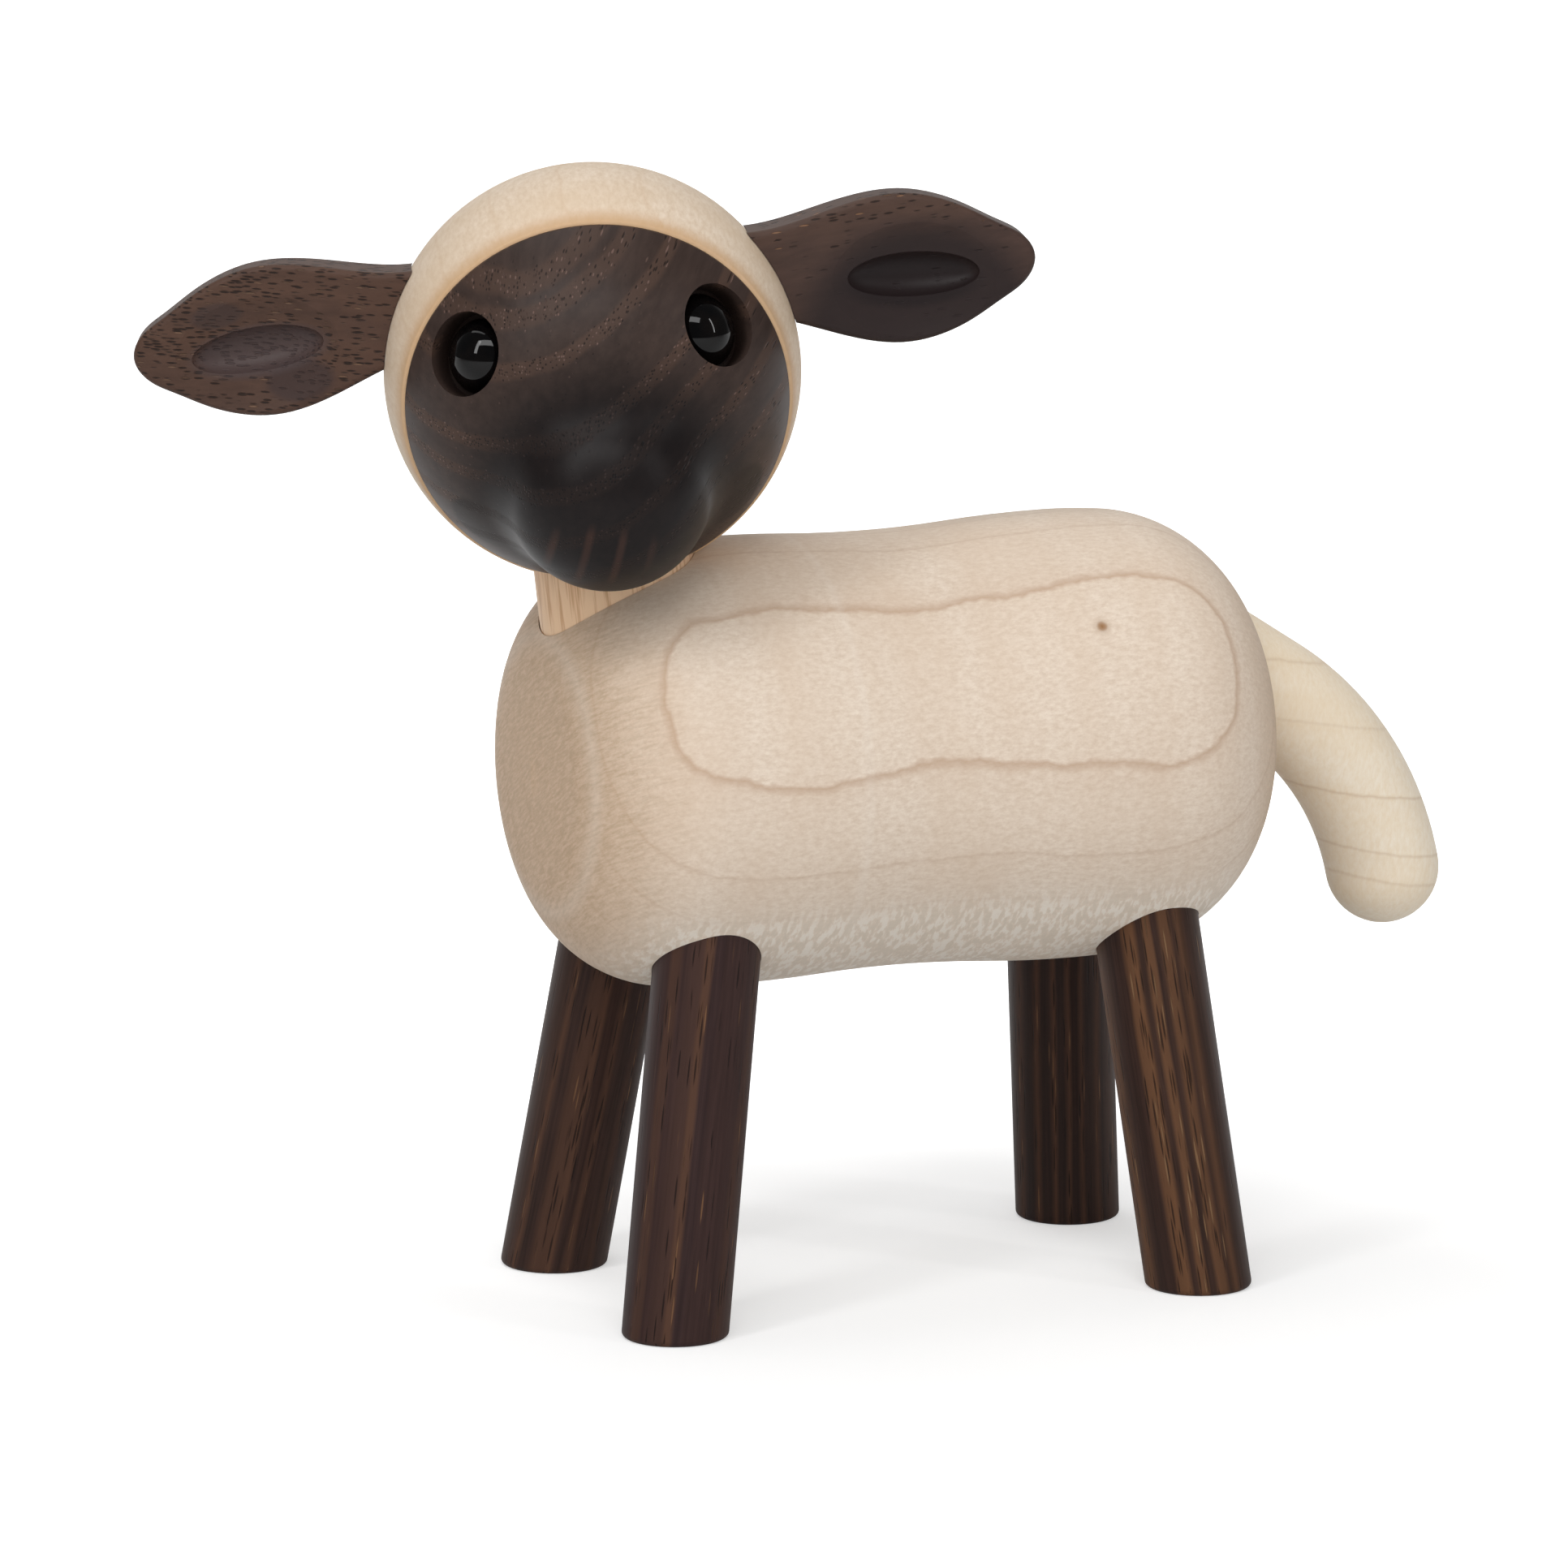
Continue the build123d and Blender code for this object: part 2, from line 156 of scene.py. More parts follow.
# Room: dim light all round and a white backdrop to the eye. A shiny surface sees the backdrop too, but
# dims from it to the camera's side; the two turns are cosines of the angle from the camera.
room = {
    "white": "FFFFFF", "light": 0.22, "backdrop": 1.0, "cameraSide": 0.1,
    "backdropTurn": -0.85, "cameraTurn": -0.25,
}
studio = bpy.data.worlds.new("studio")
bpy.context.scene.world = studio
studio.use_nodes = True
tree = studio.node_tree
rays = addNode(tree, "ShaderNodeLightPath").outputs
way = addNode(tree, "ShaderNodeTexCoord").outputs["Generated"]
seen = addNode(tree, "ShaderNodeMath", greater, i0=rays["Is Camera Ray"], i1=rays["Is Transmission Ray"])
ahead = addNode(tree, "ShaderNodeVectorMath", along, i0=way, i1=toCamera)
mirrored = addNode(
    tree, "ShaderNodeMapRange", softly, Value=ahead.outputs["Value"],
    From_Min=room["backdropTurn"], From_Max=room["cameraTurn"],
    To_Min=room["backdrop"] - room["light"], To_Max=room["cameraSide"] - room["light"],
)
shone = addNode(
    tree, "ShaderNodeMath", multiplyAdd, i0=rays["Is Glossy Ray"], i1=mirrored.outputs[0], i2=room["light"],
)
strength = addNode(tree, "ShaderNodeMath", greater, i0=shone.outputs[0], i1=seen.outputs[0])
tree.links.new(strength.outputs[0], tree.nodes["Background"].inputs["Strength"])
tree.nodes["Background"].inputs["Color"].default_value = linear(room["white"])

# Soft boxes: metres aside, ahead and up as the camera sees the sheep, then metres wide and tall
lamps = {
    "overhead": {"place": (-0.18, -0.2, 0.9), "size": (0.6, 0.6), "watts": 2.0, "mirrored": True},
    "front": {"place": (0.14, 0.94, 0.42), "size": (0.8, 0.8), "watts": 3.2, "mirrored": False},
    "top front": {"place": (-0.1, 0.58, 0.78), "size": (0.7, 0.25), "watts": 2.6, "mirrored": True},
    "left window": {"place": (-0.54, 0.6, 0.62), "size": (0.14, 0.6), "watts": 1.8, "mirrored": True},
    "right window": {"place": (0.72, 0.42, 0.48), "size": (0.05, 0.6), "watts": 0.9, "mirrored": True},
}
for name, lamp in lamps.items():
    aside, ahead, up = lamp["place"]
    place = toRight * aside + Vector((0, 0, up)) + toFront * ahead
    bpy.ops.object.light_add(type="AREA", location=place)
    light = bpy.context.object
    light.name = name
    light.rotation_euler = (place - aim).to_track_quat("Z", "Y").to_euler()
    light.data.shape = "RECTANGLE"
    light.data.size, light.data.size_y = lamp["size"]
    light.data.energy = lamp["watts"]
    light.visible_glossy = lamp["mirrored"]
bpy.context.scene.view_settings.view_transform = "Standard"
print("floor, room and lamps set")

# Maple: sizes in millimetres. Its real pores are too fine to show, so the speckle is drawn coarser.
mapleGrain = {
    "wander": 7.143, "tremble": 0.9091, "trembleDepth": 0.2,
    "speckleFrom": 0.32, "speckleTo": 0.68, "figureFrom": 0.35, "figureTo": 0.7,
    "shine": 0.25, "bump": 0.12, "bumpHeight": 0.06,
}
# a ring darkens slowly, ends in its line and starts pale again: millimetres across it, and how dark
mapleRing = [(-1.3, 0.0), (-0.2, 0.12), (0.0, 1.0), (0.17, 0.0)]


# Turned maple: pale and even, with a fine silky speckle and thin tan growth lines. The lines are
# slices through nearly flat rings, so they close into loops on the flank.
def maple(name, place, look):
    material, tree, shader = newMaterial(name)
    spot = pieceMillimetres(tree, place)
    parts = addNode(tree, "ShaderNodeSeparateXYZ", Vector=spot).outputs
    ring = parts[0]
    waves = (  # how long and how deep each wave of the rings is, and its detail
        (mapleGrain["wander"], look["drift"], 2.0),
        (mapleGrain["tremble"], mapleGrain["trembleDepth"], 1.0),
    )
    for size, depth, detail in waves:
        wave = addNode(
            tree, "ShaderNodeTexNoise", Vector=spot, Scale=1 / size, Detail=detail, Roughness=0.5,
        )
        wave = addNode(tree, "ShaderNodeMath", multiplyAdd, i0=wave.outputs[0], i1=depth, i2=-depth / 2)
        ring = addNode(tree, "ShaderNodeMath", plus, i0=ring, i1=wave.outputs[0]).outputs[0]
    low, high = look["span"]
    ring = addNode(tree, "ShaderNodeMapRange", Value=ring, From_Min=low, From_Max=high)
    stops = [(0.0, 0.0)] + [
        ((middle + offset - low) / (high - low), dark * strong)
        for middle, strong in look["lines"] for offset, dark in mapleRing
    ]
    lines = addNode(tree, "ShaderNodeValToRGB", {"stops": stops}, Fac=ring.outputs[0])

    fine = addNode(tree, "ShaderNodeMapping", Vector=spot, Scale=scaleFrom(look["speckle"]))
    speckle = addNode(
        tree, "ShaderNodeTexNoise", Vector=fine.outputs[0], Scale=1.0, Detail=3.0, Roughness=0.7,
    )
    speckle = addNode(
        tree, "ShaderNodeMapRange", Value=speckle.outputs[0],
        From_Min=mapleGrain["speckleFrom"], From_Max=mapleGrain["speckleTo"],
    )
    broad = addNode(tree, "ShaderNodeMapping", Vector=spot, Scale=scaleFrom(look["figure"]))
    figure = addNode(
        tree, "ShaderNodeTexNoise", Vector=broad.outputs[0], Scale=1.0, Detail=2.0, Roughness=0.5,
    )
    figure = addNode(
        tree, "ShaderNodeMapRange", Value=figure.outputs[0],
        From_Min=mapleGrain["figureFrom"], From_Max=mapleGrain["figureTo"], To_Max=look["depth"],
    )
    colour = linear(look["pale"])
    for amount, tone in ((speckle, "fleck"), (figure, "warm"), (lines, "line")):
        colour = addNode(
            tree, "ShaderNodeMix", inColour, i0=amount.outputs[0], i6=colour, i7=linear(look[tone]),
        ).outputs[2]
    bump = addNode(
        tree, "ShaderNodeBump", Height=speckle.outputs[0],
        Strength=mapleGrain["bump"], Distance=mapleGrain["bumpHeight"] * unit,
    )
    tree.links.new(bump.outputs[0], shader.inputs["Normal"])
    tree.links.new(colour, shader.inputs["Base Color"])
    shader.inputs["Roughness"].default_value = look["roughness"]
    shader.inputs["Specular IOR Level"].default_value = mapleGrain["shine"]
    return material, tree, shader, spot, parts, colour


# Body: its rings tilt 28 degrees, so the ray flecks show on the belly and the loops on the flank
bodyLook = {
    "middle": (0, 0.004, 0.0407), "tilt": -28.15, "drift": 0.9, "span": (-18.0, 18.0),
    "lines": [(-10.2, 0.4), (-6.0, 0.35), (-1.8, 0.3), (3.2, 0.25), (7.7, 0.25), (11.1, 0.3), (15.3, 0.72)],
    "speckle": (0.2941, 0.625, 0.2941), "figure": (20.0, 5.0, 20.0), "depth": 0.5,
    "pale": "EADBCA", "fleck": "D9C5B1", "warm": "D8C1AA", "line": "B8967A", "roughness": 0.55,
    "endTan": "C9A888", "endDark": "B1926F", "endDepth": 0.75,
    "hatch": (1.111, 2.0, 0.2222), "hatchRange": (0.35, 0.65),
    "chestEnd": (-21.5, -28.4), "chestRagged": 1.6, "rumpEnd": (24.5, 30.0),
    "knot": (16.66, 12.81, 3.21), "knotBrown": "946638",
    "knotRings": [(0.0, 0.95), (0.28, 0.75), (0.5, 0.2), (0.9, 0.0)],
    "ray": (1.111, 0.4348, 1.4286), "raySlant": 0.5,
    "rayTones": [(0.42, "E1D4C3"), (0.5, "EADBCA"), (0.57, "F6EEE2")],
    "rayDepth": 0.8, "rayBelow": (-12.6, -15.8), "rayWithin": (10.5, 6.0),
    # painted highlight: the pale sheen rings' tone, how strong they are, and where they lie along the body
    "paintedSheen": "F2E9DD", "paintedSheenDepth": 0.2, "paintedSheenHalf": 30.0,
    "paintedSheenRings": [(-26.7, 0.42, 0.42), (-7.14, 0.66, 0.3)],
}
place = Matrix.Translation(bodyLook["middle"]) @ turned(bodyLook["tilt"], "Y")
material, tree, shader, spot, parts, colour = maple("turned maple body", place, bodyLook)

# ray flecks: short pale and tan slivers across the grain, in a band low on the belly
slant = addNode(
    tree, "ShaderNodeMapping", Vector=spot,
    Rotation=(0, 0, bodyLook["raySlant"]), Scale=scaleFrom(bodyLook["ray"]),
)
flecks = addNode(
    tree, "ShaderNodeTexNoise", Vector=slant.outputs[0], Scale=1.0, Detail=3.0, Roughness=0.55,
)
flecks = addNode(tree, "ShaderNodeValToRGB", {"stops": bodyLook["rayTones"]}, Fac=flecks.outputs[0])
start, full = bodyLook["rayBelow"]
below = addNode(
    tree, "ShaderNodeMapRange", softly,
    Value=parts[2], From_Min=start, From_Max=full, To_Max=bodyLook["rayDepth"],
)
start, full = bodyLook["rayWithin"]
within = addNode(tree, "ShaderNodeMapRange", softly, Value=parts[0], From_Min=start, From_Max=full)
band = addNode(tree, "ShaderNodeMath", multiply, i0=below.outputs[0], i1=within.outputs[0])
colour = addNode(tree, "ShaderNodeMix", inColour, i0=band.outputs[0], i6=colour, i7=flecks.outputs[0])

# end grain drinks more oil: it darkens round the turned corner, with a fine hatch
hatch = addNode(tree, "ShaderNodeMapping", Vector=spot, Scale=scaleFrom(bodyLook["hatch"]))
hatch = addNode(
    tree, "ShaderNodeTexNoise", Vector=hatch.outputs[0], Scale=1.0, Detail=3.0, Roughness=0.65,
)
start, full = bodyLook["hatchRange"]
hatch = addNode(tree, "ShaderNodeMapRange", Value=hatch.outputs[0], From_Min=start, From_Max=full)
endColour = addNode(
    tree, "ShaderNodeMix", inColour,
    i0=hatch.outputs[0], i6=linear(bodyLook["endTan"]), i7=linear(bodyLook["endDark"]),
)
ragged = addNode(
    tree, "ShaderNodeMath", multiplyAdd, i0=hatch.outputs[0], i1=-bodyLook["chestRagged"], i2=parts[1],
)
start, full = bodyLook["chestEnd"]
chest = addNode(
    tree, "ShaderNodeMapRange",
    Value=ragged.outputs[0], From_Min=start, From_Max=full, To_Max=bodyLook["endDepth"],
)
start, full = bodyLook["rumpEnd"]
rump = addNode(
    tree, "ShaderNodeMapRange", Value=parts[1], From_Min=start, From_Max=full, To_Max=bodyLook["endDepth"],
)
ends = addNode(tree, "ShaderNodeMath", greater, i0=chest.outputs[0], i1=rump.outputs[0])
colour = addNode(
    tree, "ShaderNodeMix", inColour, i0=ends.outputs[0], i6=colour.outputs[2], i7=endColour.outputs[2],
)

# one pin knot high on the left flank
reach = addNode(tree, "ShaderNodeVectorMath", distance, i0=spot, i1=bodyLook["knot"])
knot = addNode(tree, "ShaderNodeValToRGB", {"stops": bodyLook["knotRings"]}, Fac=reach.outputs["Value"])
colour = addNode(
    tree, "ShaderNodeMix", inColour,
    i0=knot.outputs[0], i6=colour.outputs[2], i7=linear(bodyLook["knotBrown"]),
)

# painted highlight: faint pale rings round the turning, at the chest's edge and the waist, stand for the
# sheen where the turned curve catches the light
half = bodyLook["paintedSheenHalf"]
paintedSheenLines = addNode(tree, "ShaderNodeMapRange", Value=parts[1], From_Min=-half, From_Max=half)
stops = [(0.0, 0.0)] + [
    ((half + middle + offset) / (2 * half), grey)
    for middle, before, after in bodyLook["paintedSheenRings"]
    for offset, grey in ((-before, 0.0), (0.0, bodyLook["paintedSheenDepth"]), (after, 0.0))
]
paintedSheenLines = addNode(tree, "ShaderNodeValToRGB", {"stops": stops}, Fac=paintedSheenLines.outputs[0])
colour = addNode(
    tree, "ShaderNodeMix", inColour,
    i0=paintedSheenLines.outputs[0], i6=colour.outputs[2], i7=linear(bodyLook["paintedSheen"]),
)
tree.links.new(colour.outputs[2], shader.inputs["Base Color"])
dress("body", material)

# The head's own directions, in metres and degrees: x to its left, y up its face, z out of the face
head = {"seat": (0, -0.0156, 0.043), "lean": 6.5, "rise": 0.0281, "turn": 71.0, "pitch": 101.9}
neckPlace = Matrix.Translation(head["seat"]) @ turned(head["lean"], "X")
headPlace = neckPlace @ Matrix.Translation((0, 0, head["rise"])) @ turned(head["turn"], "Z")
facePlace = headPlace @ turned(head["pitch"], "X")

# Head ball: maple turned with the face's seat across the grain. Next to the face its rim is tan: the small
# bevel's own tan with painted shade on it.
capLook = {
    "grain": 35.0, "drift": 1.2, "span": (-18.0, 18.0),
    "lines": [(-12.0, 0.25), (-7.0, 0.25), (-2.0, 0.25), (3.0, 0.25), (8.0, 0.25), (12.5, 0.25)],
    "speckle": (0.3846, 0.3846, 0.8333), "figure": (10.0, 8.333, 3.333), "depth": 0.5,
    "pale": "E5D4C0", "fleck": "D7C1A8", "warm": "D2B99B", "line": "C9A884", "roughness": 0.55,
    "bevelTanAndShade": "C49C70", "rim": (3.9, 5.7), "bevelTanAndShadeDepth": 0.75,
}
place = facePlace @ turned(capLook["grain"], "Z")
material, tree, shader, spot, parts, colour = maple("turned maple ball", place, capLook)
# the tan band next to the face is partly the bevel's own tan and partly painted shade
start, full = capLook["rim"]
edge = addNode(
    tree, "ShaderNodeMapRange", softly,
    Value=parts[2], From_Min=start, From_Max=full, To_Max=capLook["bevelTanAndShadeDepth"],
)
colour = addNode(
    tree, "ShaderNodeMix", inColour, i0=edge.outputs[0], i6=colour, i7=linear(capLook["bevelTanAndShade"]),
)
tree.links.new(colour.outputs[2], shader.inputs["Base Color"])
dress("head", material)

# Tail: bent from a straight rod, its growth lines cross it in thin, slightly falling strokes
tailLook = {
    "fall": -10.0, "drift": 0.9, "span": (29.0, 57.0),
    "lines": [(32.0, 0.25), (35.2, 0.3), (37.4, 0.35), (41.8, 0.4), (46.8, 0.22), (51.2, 0.3), (54.0, 0.2)],
    "speckle": (0.8333, 0.3333, 0.3333), "figure": (4.0, 16.67, 16.67), "depth": 0.4,
    "pale": "F8ECD9", "fleck": "F1E0C6", "warm": "EBD3AF", "line": "C39E74", "roughness": 0.5,
}
place = turned(tailLook["fall"], "X") @ turned(-90.0, "Y")  # its rings are counted down from the top
dress("tail", maple("steam bent maple tail", place, tailLook)[0])
print("maple pieces dressed")

# Neck dowel: oiled, straight-grained, warmer wood, with fine streaks up its length
neckLook = {
    "tones": [(0.52, "EECAA5"), (0.62, "D7AC85"), (0.72, "BE946C")],
    "grain": 20.0, "streak": (0.4545, 0.4545, 8.333),
    "roughness": 0.5, "shine": 0.3, "bump": 0.15, "bumpHeight": 0.06,
}
material, tree, shader = newMaterial("oiled neck dowel")
spot = pieceMillimetres(tree, neckPlace @ turned(neckLook["grain"], "Z"))
grain = addNode(tree, "ShaderNodeMapping", Vector=spot, Scale=scaleFrom(neckLook["streak"]))
grain = addNode(tree, "ShaderNodeTexNoise", Vector=grain.outputs[0], Scale=1.0, Detail=3.0, Roughness=0.6)
colour = addNode(tree, "ShaderNodeValToRGB", {"stops": neckLook["tones"]}, Fac=grain.outputs[0])
bump = addNode(
    tree, "ShaderNodeBump", Height=grain.outputs[0],
    Strength=neckLook["bump"], Distance=neckLook["bumpHeight"] * unit,
)
tree.links.new(colour.outputs[0], shader.inputs["Base Color"])
tree.links.new(bump.outputs[0], shader.inputs["Normal"])
shader.inputs["Roughness"].default_value = neckLook["roughness"]
shader.inputs["Specular IOR Level"].default_value = neckLook["shine"]
dress("neck", material)

# Friction ring: moulded rubber, matt and faintly pebbled
rubber = {
    "tones": [(0.3, "1B1B1C"), (0.7, "29292A")], "pebble": 0.1111,
    "roughness": 0.8, "bump": 0.3, "bumpHeight": 0.03,
}
material, tree, shader = newMaterial("moulded rubber ring")
spot = pieceMillimetres(tree, neckPlace)
pebble = addNode(
    tree, "ShaderNodeTexNoise", Vector=spot, Scale=1 / rubber["pebble"], Detail=2.0, Roughness=0.5,
)
colour = addNode(tree, "ShaderNodeValToRGB", {"stops": rubber["tones"]}, Fac=pebble.outputs[0])
bump = addNode(
    tree, "ShaderNodeBump", Height=pebble.outputs[0],
    Strength=rubber["bump"], Distance=rubber["bumpHeight"] * unit,
)
tree.links.new(colour.outputs[0], shader.inputs["Base Color"])
tree.links.new(bump.outputs[0], shader.inputs["Normal"])
shader.inputs["Roughness"].default_value = rubber["roughness"]
dress("neck_ring", material)

# Oak: what its pieces share, with sizes in millimetres. A pore fills the middle of its own cell, which
# is 0.2 mm wide as in real oak. Of the pores, those with a chance above the dusty value hold dust.
oak = {
    "dark": "271A17", "middle": "3A2823", "brown": "573C2E", "tan": "6E4F39", "pit": "150D0B",
    "smooth": 0.46, "dry": 0.62, "shine": 0.15, "pitDepth": 0.75, "warmth": 0.9, "dusty": 0.78,
    "dustyEdge": 0.05, "poreEdge": 0.46, "poreFull": 0.24, "chanceFrom": -0.04, "chanceTo": 0.1,
    "streakFrom": 0.32, "streakTo": 0.68, "bump": 0.5, "bumpHeight": 0.08,
}


# Smoked oak: near black, with brown bands of open pores where each ring starts. A pore is a short
# tube along the grain, so it shows as a dash on a side and as a dot on an end; some hold pale dust.
# The rings are counted along one direction, or outward from a pith.
def smokedOak(name, place, look):
    material, tree, shader = newMaterial(name)
    spot = pieceMillimetres(tree, place)
    if "pith" in look:
        flat = addNode(tree, "ShaderNodeVectorMath", multiply, i0=spot, i1=(1, 1, 0))
        across = addNode(tree, "ShaderNodeVectorMath", distance, i0=flat.outputs[0], i1=look["pith"])
        across = across.outputs["Value"]
    else:
        across = addNode(tree, "ShaderNodeSeparateXYZ", Vector=spot).outputs[look["across"]]
    drift = addNode(tree, "ShaderNodeMapping", Vector=spot, Scale=scaleFrom(look["drift"]))
    drift = addNode(
        tree, "ShaderNodeTexNoise", Vector=drift.outputs[0], Scale=1.0, Detail=3.0, Roughness=0.6,
    )
    sway = look["sway"]
    drift = addNode(tree, "ShaderNodeMath", multiplyAdd, i0=drift.outputs[0], i1=sway, i2=-sway / 2)
    ring = addNode(tree, "ShaderNodeMath", plus, i0=across, i1=drift.outputs[0])
    low, high = look["span"]
    ring = addNode(tree, "ShaderNodeMapRange", Value=ring.outputs[0], From_Min=low, From_Max=high)
    stops = [((middle - low) / (high - low), grey) for middle, grey in look["bands"]]
    band = addNode(tree, "ShaderNodeValToRGB", {"stops": stops}, Fac=ring.outputs[0])

    # one pore to a cell, there by chance, and more often inside a band
    cells = addNode(tree, "ShaderNodeMapping", Vector=spot, Scale=scaleFrom(look["pore"]))
    cells = addNode(tree, "ShaderNodeTexVoronoi", Vector=cells.outputs[0], Scale=1.0)
    chance = addNode(tree, "ShaderNodeSeparateColor", Color=cells.outputs["Color"])
    there = addNode(
        tree, "ShaderNodeMath", {"operation": "SUBTRACT"}, i0=band.outputs[0], i1=chance.outputs[0],
    )
    there = addNode(
        tree, "ShaderNodeMapRange", Value=there.outputs[0],
        From_Min=look["chanceFrom"], From_Max=look["chanceTo"],
    )
    hole = addNode(
        tree, "ShaderNodeMapRange", softly, Value=cells.outputs["Distance"],
        From_Min=look["poreEdge"], From_Max=look["poreFull"],
    )
    hole = addNode(tree, "ShaderNodeMath", multiply, i0=hole.outputs[0], i1=there.outputs[0])
    dusty = addNode(
        tree, "ShaderNodeMapRange", Value=chance.outputs[1],
        From_Min=look["dusty"] - look["dustyEdge"], From_Max=look["dusty"] + look["dustyEdge"],
    )
    dusty = addNode(tree, "ShaderNodeMath", multiply, i0=dusty.outputs[0], i1=hole.outputs[0])
    empty = addNode(tree, "ShaderNodeMath", multiply, i0=hole.outputs[0], i1=look["pitDepth"])
    warmer = addNode(tree, "ShaderNodeMath", multiply, i0=band.outputs[0], i1=look["warmth"])
    streaks = addNode(tree, "ShaderNodeMapping", Vector=spot, Scale=scaleFrom(look["streak"]))
    streaks = addNode(
        tree, "ShaderNodeTexNoise", Vector=streaks.outputs[0], Scale=1.0, Detail=3.0, Roughness=0.6,
    )
    streaks = addNode(
        tree, "ShaderNodeMapRange", Value=streaks.outputs[0],
        From_Min=look["streakFrom"], From_Max=look["streakTo"],
    )

    colour = linear(look["dark"])
    for amount, tone in ((streaks, "middle"), (warmer, "brown"), (empty, "pit"), (dusty, "tan")):
        colour = addNode(
            tree, "ShaderNodeMix", inColour, i0=amount.outputs[0], i6=colour, i7=linear(look[tone]),
        ).outputs[2]
    rough = addNode(
        tree, "ShaderNodeMapRange", Value=band.outputs[0], To_Min=look["smooth"], To_Max=look["dry"],
    )
    bump = addNode(
        tree, "ShaderNodeBump", {"invert": True}, Height=hole.outputs[0],
        Strength=look["bump"], Distance=look["bumpHeight"] * unit,
    )
    tree.links.new(colour, shader.inputs["Base Color"])
    tree.links.new(rough.outputs[0], shader.inputs["Roughness"])
    tree.links.new(bump.outputs[0], shader.inputs["Normal"])
    shader.inputs["Specular IOR Level"].default_value = look["shine"]
    return material, tree, shader, colour


# Legs: bands run up each dowel; places across it are in millimetres from its axis
legLook = dict(
    oak, across=0, drift=(4.0, 4.0, 25.0), sway=0.8, span=(-4.2, 4.2),
    pore=(0.1923, 0.1923, 3.333), streak=(0.3333, 0.3333, 11.11),
)
legs = {
    "front_left_leg": {
        "foot": (0.0125, -0.0173, 0), "lean": (-8.1, -7.0), "grain": 1.5,
        "dark": "2E2020", "middle": "3B2A29",
        "bands": [
            (-4.2, 0.1), (-3.5, 0.1), (-3.2, 0.6), (-2.7, 0.5), (-2.4, 0.1), (-1.8, 0.3), (-1.1, 0.4),
            (-0.8, 0.95), (-0.4, 0.9), (-0.1, 0.02), (0.5, 0.02), (0.7, 0.1), (2.7, 0.12), (3.1, 0.5),
            (3.6, 0.3), (4.2, 0.5),
        ],
    },
    "front_right_leg": {
        "foot": (-0.0125, -0.0173, 0), "lean": (-8.1, 7.0), "grain": 2.0,
        "bands": [
            (-4.2, 0.2), (-3.4, 0.3), (-3.1, 0.95), (-2.7, 0.05), (-2.2, 0.05), (-1.8, 0.6), (-0.9, 0.7),
            (-0.5, 0.95), (-0.1, 0.05), (0.5, 0.1), (0.9, 0.75), (1.3, 0.05), (2.1, 0.1), (2.5, 0.5),
            (3.0, 0.1), (3.5, 0.3),
        ],
    },
    "rear_left_leg": {
        "foot": (0.0125, 0.0253, 0), "lean": (5.7, -8.4), "grain": -1.0,
        "brown": "6A4932", "tan": "7A5C42",
        "bands": [
            (-4.2, 0.3), (-3.5, 0.9), (-3.1, 0.3), (-2.8, 0.03), (-1.8, 0.05), (-1.5, 0.8), (-0.8, 1.0),
            (-0.4, 0.1), (-0.1, 0.1), (0.2, 0.9), (0.7, 0.8), (0.9, 0.05), (1.2, 0.1), (1.5, 0.8),
            (2.0, 0.7), (2.3, 0.1), (2.8, 0.6), (3.3, 0.1),
        ],
    },
    "rear_right_leg": {
        "foot": (-0.0125, 0.0253, 0), "lean": (5.7, 8.4), "grain": 1.0,
        "dark": "231816", "middle": "30211D",
        "bands": [
            (-4.2, 0.2), (-3.5, 0.7), (-3.1, 0.05), (-2.6, 0.05), (-2.2, 0.8), (-1.9, 0.05), (-1.4, 0.05),
            (-1.0, 0.9), (-0.7, 0.05), (-0.2, 0.05), (0.2, 0.8), (0.5, 0.05), (0.9, 0.05), (1.2, 0.7),
            (1.5, 0.05), (2.0, 0.1), (2.4, 0.7), (2.8, 0.05), (3.3, 0.5),
        ],
    },
}
for name, leg in legs.items():
    rake, splay = (math.tan(math.radians(angle)) for angle in leg["lean"])
    up = Vector((splay, -rake, 1)).normalized()
    side = (toRight - up * toRight.dot(up)).normalized()
    axes = Matrix((side, up.cross(side), up)).transposed().to_4x4()
    place = Matrix.Translation(leg["foot"]) @ axes @ turned(leg["grain"], "Y")
    dress(name, smokedOak(name.replace("_", " ") + " smoked oak", place, dict(legLook, **leg))[0])
print("legs dressed")

# Ears: the same oak cut flatter, so its pores show as sunk dashes along the leaf. The right ear is open and
# dry, the left one closer and, with painted shade over its dish, darker; the hollow of each is rubbed
# smoother than the rest.
earLook = dict(
    oak, across=1, drift=(8.333, 4.0, 6.667), sway=7.0, span=(-2.0, 13.0),
    pore=(1.0526, 0.2, 0.3333), streak=(2.857, 0.625, 0.625),
    bump=0.8, shine=0.22, warmth=0.8, dusty=0.88, pitDepth=0.88,
    droop=4.4, plain=0.52, hollow=0.44, stainAndShadeEdge=1.2, stainAndShadeFull=0.8,
)
